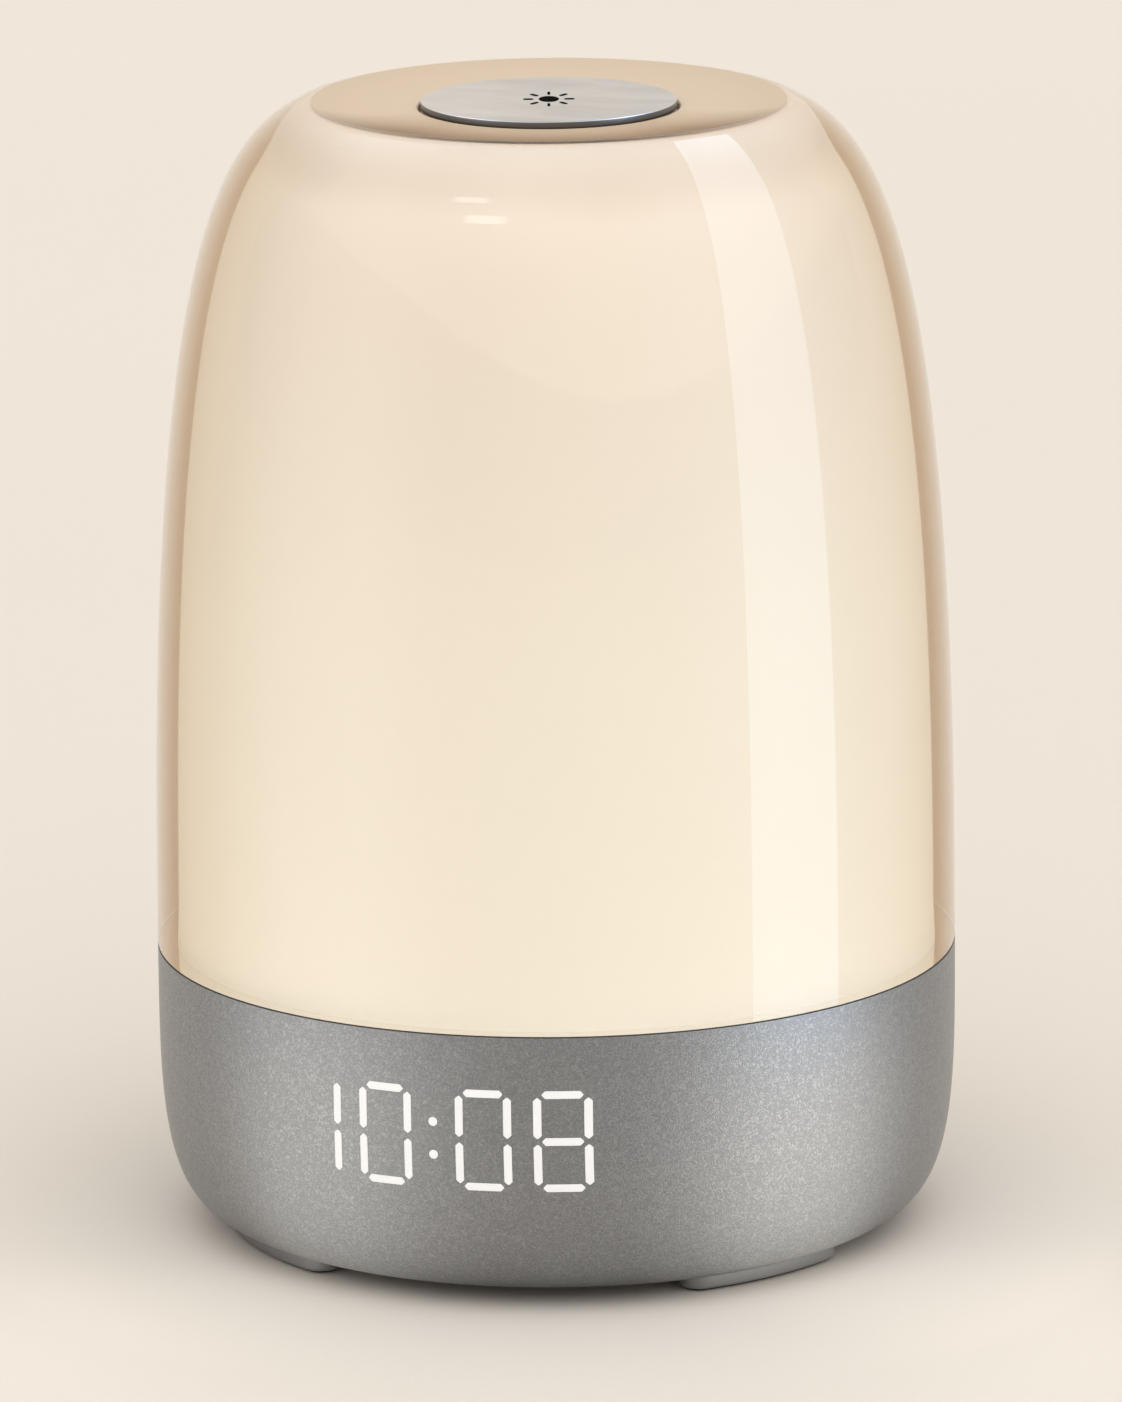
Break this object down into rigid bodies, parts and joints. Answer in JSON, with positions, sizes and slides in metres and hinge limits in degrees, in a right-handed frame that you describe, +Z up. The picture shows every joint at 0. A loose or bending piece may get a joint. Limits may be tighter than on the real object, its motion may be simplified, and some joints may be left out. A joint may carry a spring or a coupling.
{
  "type": "alarm clock lamp",
  "caption": "Bedside clock lamp: a tinted dome over an opal diffuser with a steel touch disc, on a grained round base with a seven-segment display.",
  "frame": {"origin": "centre of the underside of the feet, on the surface that the lamp stands on", "axes": "+Z up through the dome, -Y towards the display, +X to the display's right"},
  "size_m": [0.12, 0.12, 0.1705],
  "materials": {
    "tinted_clear": "clear moulded acrylic with a warm tint, polished",
    "opal": "opal light diffuser, satin",
    "grained_grey": "mid-grey with a fine worm-like metallic grain",
    "grey_plastic": "fine-textured moulded grey",
    "brushed_grey": "grey, finely brushed along its length",
    "black_rubber": "matte black",
    "screw_steel": "zinc-plated",
    "cell_steel": "satin nickel",
    "contact_brass": "sprung brass",
    "black_plastic": "matte moulded black",
    "dark_plastic": "fine-textured moulded charcoal",
    "key_plastic": "satin grey",
    "cone_paper": "black pulp cone",
    "magnet": "plated magnet",
    "black_wire": "insulated lead",
    "red_wire": "insulated lead",
    "board_green": "solder-masked circuit board",
    "board_white": "white solder-masked circuit board",
    "chip_black": "moulded packages",
    "film": "frosted diffusing film",
    "ribbon": "flat cable",
    "led_yellow": "light-emitting diodes",
    "lit_white": "lit figures showing through the shell",
    "white_plastic": "moulded white",
    "spring_steel": "drawn wire",
    "brushed_steel": "satin brushed disc",
    "inlet_steel": "stamped shell of the power inlet"
  },
  "bodies": {
    "housing": {"outer_dome": "tinted_clear", "inner_diffuser": "opal", "base_shell": "grained_grey", "deck": "white_plastic", "bottom_cover": "grey_plastic", "foot_left": "brushed_grey", "foot_right": "brushed_grey", "foot_rear": "brushed_grey", "foot_soles": "black_rubber", "cover_screws": "screw_steel", "battery_hatch": "grey_plastic", "hatch_screw": "screw_steel", "coin_cell": "cell_steel", "cell_contacts": "contact_brass", "speaker_gasket": "black_rubber", "speaker_frame": "black_plastic", "speaker_cone": "cone_paper", "speaker_magnet": "magnet", "speaker_lead": "black_wire", "main_board": "board_green", "board_parts": "chip_black", "board_screws": "screw_steel", "display_mask": "black_plastic", "display_film": "film", "display_board": "board_green", "display_leds": "led_yellow", "display_ribbon": "ribbon", "hour_tens": "lit_white", "hour_units": "lit_white", "colon_dots": "lit_white", "minute_tens": "lit_white", "minute_units": "lit_white", "led_board": "board_white", "light_leds": "led_yellow", "reflector": "white_plastic", "reflector_screws": "screw_steel", "center_column": "white_plastic", "column_screws": "screw_steel", "column_lead": "red_wire", "button_housing": "white_plastic", "switch_board": "board_green", "switch_body": "chip_black", "button_spring": "spring_steel", "rear_panel": "dark_plastic", "rear_board": "board_green", "rear_screws": "screw_steel", "key_switches": "chip_black", "usb_inlet": "inlet_steel", "rear_ribbon": "ribbon"},
    "top_button": {"touch_disc": "brushed_steel", "button_carrier": "white_plastic", "switch_plunger": "black_plastic"},
    "time_key": {"time_key": "key_plastic", "time_plunger": "black_plastic"},
    "alarm_key": {"alarm_key": "key_plastic", "alarm_plunger": "black_plastic"},
    "minus_key": {"minus_key": "key_plastic", "minus_plunger": "black_plastic"},
    "plus_key": {"plus_key": "key_plastic", "plus_plunger": "black_plastic"}
  },
  "joints": [
    {"name": "button_press", "type": "slide", "parent": "housing", "child": "top_button", "axis": [0, 0, -1], "range_m": [0, 0.0008], "stiffness_N_per_m": 1500, "springref_m": -0.001, "deforming": ["button_spring"]},
    {"name": "time_key_press", "type": "slide", "parent": "housing", "child": "time_key", "axis": [0, -1, 0], "range_m": [0, 0.0005], "stiffness_N_per_m": 2000, "springref_m": -0.0004},
    {"name": "alarm_key_press", "type": "slide", "parent": "housing", "child": "alarm_key", "axis": [0, -1, 0], "range_m": [0, 0.0005], "stiffness_N_per_m": 2000, "springref_m": -0.0004},
    {"name": "minus_key_press", "type": "slide", "parent": "housing", "child": "minus_key", "axis": [0, -1, 0], "range_m": [0, 0.0005], "stiffness_N_per_m": 2000, "springref_m": -0.0004},
    {"name": "plus_key_press", "type": "slide", "parent": "housing", "child": "plus_key", "axis": [0, -1, 0], "range_m": [0, 0.0005], "stiffness_N_per_m": 2000, "springref_m": -0.0004}
  ]
}
